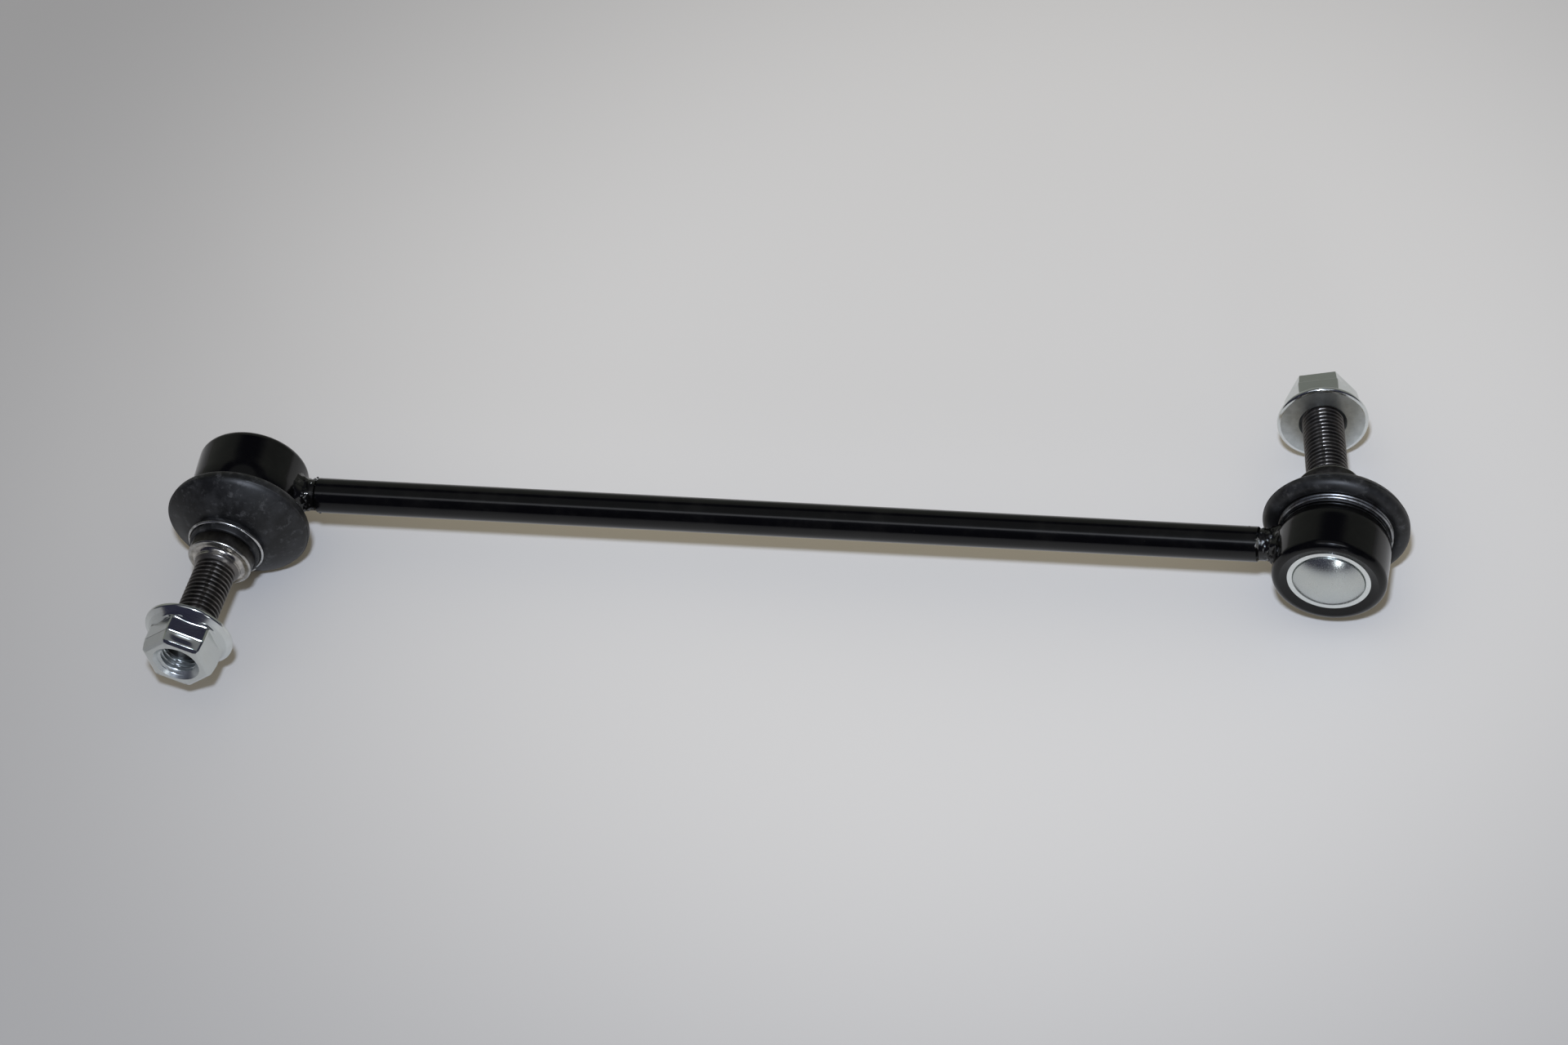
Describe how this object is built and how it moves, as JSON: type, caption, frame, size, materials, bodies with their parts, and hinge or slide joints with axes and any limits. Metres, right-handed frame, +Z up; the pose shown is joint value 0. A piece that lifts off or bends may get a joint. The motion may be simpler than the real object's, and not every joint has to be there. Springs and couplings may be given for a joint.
{
  "type": "stabilizer link",
  "caption": "Straight steel rod with a sealed ball joint welded to each end, the threaded studs pointing opposite ways, joining an anti-roll bar to a suspension arm or strut.",
  "frame": {"origin": "the middle of the rod's axis, about a millimetre from the middle of the part", "axes": "+X along the rod towards the right end, +Y the way the right stud points before its tilt, +Z up"},
  "size_m": [0.3552, 0.128, 0.0412],
  "materials": {
    "black_steel": "glossy black dip coat",
    "weld": "black over a rough weld",
    "zinc_cover": "bright zinc plate",
    "zinc_nut": "bright zinc plate",
    "stud_steel": "dark phosphate, collar turned bright",
    "seat_plastic": "moulded acetal",
    "boot_rubber": "soft satin",
    "ring_wire": "bright wire"
  },
  "bodies": {
    "link": {"link_rod": "black_steel", "left_housing": "black_steel", "left_weld": "weld", "left_seat": "seat_plastic", "left_cover": "zinc_cover", "left_boot_clamp_ring": "ring_wire", "right_housing": "black_steel", "right_weld": "weld", "right_seat": "seat_plastic", "right_cover": "zinc_cover", "right_boot_clamp_ring": "ring_wire"},
    "left boot": {"left_boot": "boot_rubber"},
    "left boot mouth": {"left_boot_lip_ring": "ring_wire"},
    "left stud": {"left_ball_stud": "stud_steel"},
    "left nut": {"left_flange_nut": "zinc_nut"},
    "right boot": {"right_boot": "boot_rubber"},
    "right boot mouth": {"right_boot_lip_ring": "ring_wire"},
    "right stud": {"right_ball_stud": "stud_steel"},
    "right nut": {"right_flange_nut": "zinc_nut"}
  },
  "joints": [
    {"name": "left_stud_dip", "type": "hinge", "parent": "link", "child": "left boot", "pos_m": [-0.157, -0.003, 0], "axis": [-1, 0, 0], "range_deg": [-15.7, 18.3], "deforming": ["left_boot"]},
    {"name": "left_stud_swing", "type": "hinge", "parent": "left boot", "child": "left boot mouth", "pos_m": [-0.157, -0.003, 0], "axis": [0, -0.0227, 0.9997], "range_deg": [-10.7, 23.3], "deforming": ["left_boot"]},
    {"name": "left_stud_spin", "type": "hinge", "parent": "left boot mouth", "child": "left stud", "pos_m": [-0.157, -0.003, 0], "axis": [-0.1097, -0.9937, -0.0226], "continuous": true},
    {"name": "left_nut_travel", "type": "slide", "parent": "left stud", "child": "left nut", "axis": [-0.1097, -0.9937, -0.0226], "range_m": [-0.0225, 0.045]},
    {"name": "right_stud_dip", "type": "hinge", "parent": "link", "child": "right boot", "pos_m": [0.157, 0, 0], "axis": [1, 0, 0], "range_deg": [-12, 22], "deforming": ["right_boot"]},
    {"name": "right_stud_swing", "type": "hinge", "parent": "right boot", "child": "right boot mouth", "pos_m": [0.157, 0, 0], "axis": [0, 0.0872, 0.9962], "range_deg": [-27, 7], "deforming": ["right_boot"]},
    {"name": "right_stud_spin", "type": "hinge", "parent": "right boot mouth", "child": "right stud", "pos_m": [0.157, 0, 0], "axis": [-0.1736, 0.9811, -0.0858], "continuous": true},
    {"name": "right_nut_travel", "type": "slide", "parent": "right stud", "child": "right nut", "axis": [-0.1736, 0.9811, -0.0858], "range_m": [-0.024, 0.045]}
  ]
}
